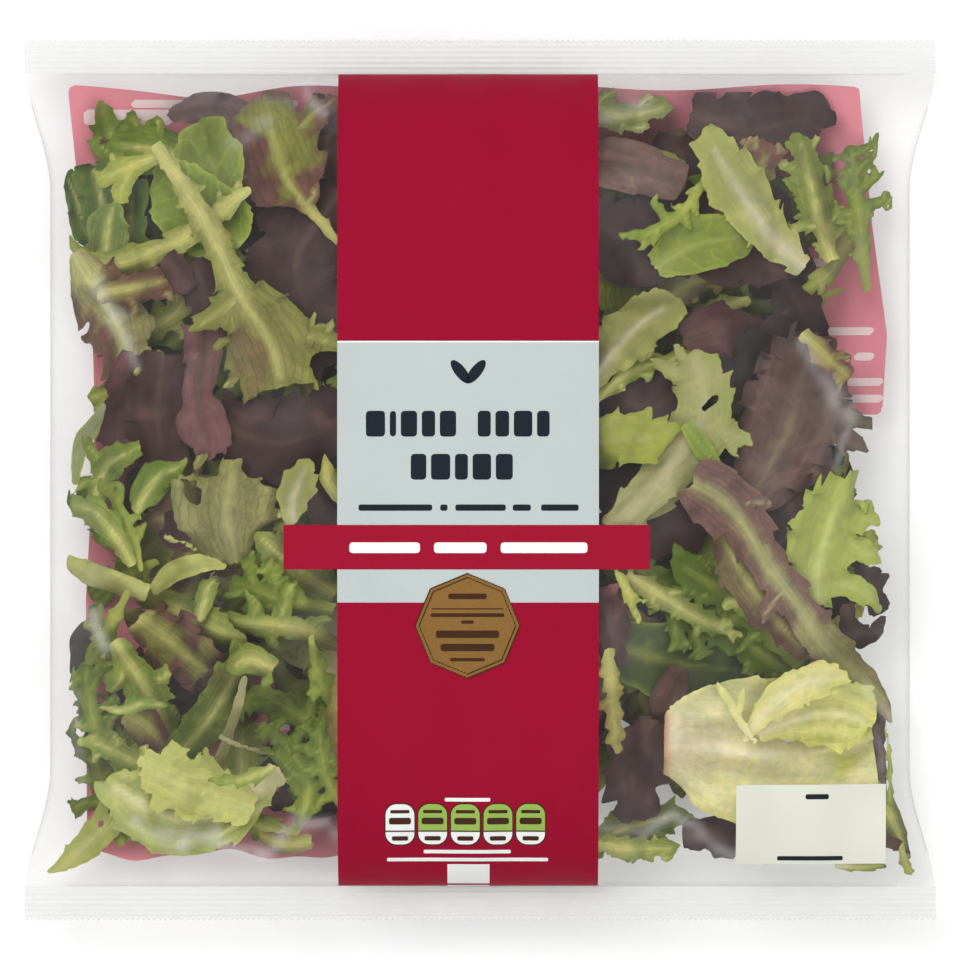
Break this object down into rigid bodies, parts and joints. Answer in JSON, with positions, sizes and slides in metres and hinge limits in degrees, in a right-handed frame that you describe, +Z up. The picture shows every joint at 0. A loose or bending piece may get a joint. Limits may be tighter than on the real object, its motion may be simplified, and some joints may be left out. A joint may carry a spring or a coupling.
{
  "type": "bag of salad leaves",
  "caption": "Sealed clear pillow bag of mixed salad leaves with ribbed end seals and a printed centre band, lying on its back.",
  "frame": {"origin": "on the surface that the bag lies on, under the bag's centre", "axes": "+Z up through the bag's front, +X across the bag, +Y along it towards the top seal"},
  "size_m": [0.25, 0.242, 0.0495],
  "materials": {
    "clear_film": "clear glossy film",
    "seal_film": "two layers of film pressed into ribs",
    "red_print": "ink under glossy film",
    "pale_print": "ink under glossy film",
    "detail_print": "small printed shapes under glossy film",
    "green_leaf": "soft wet leaf",
    "pale_leaf": "soft wet leaf",
    "red_leaf": "soft wet leaf"
  },
  "bodies": {
    "root": {"salad_bag": "clear_film"}
  },
  "joints": []
}
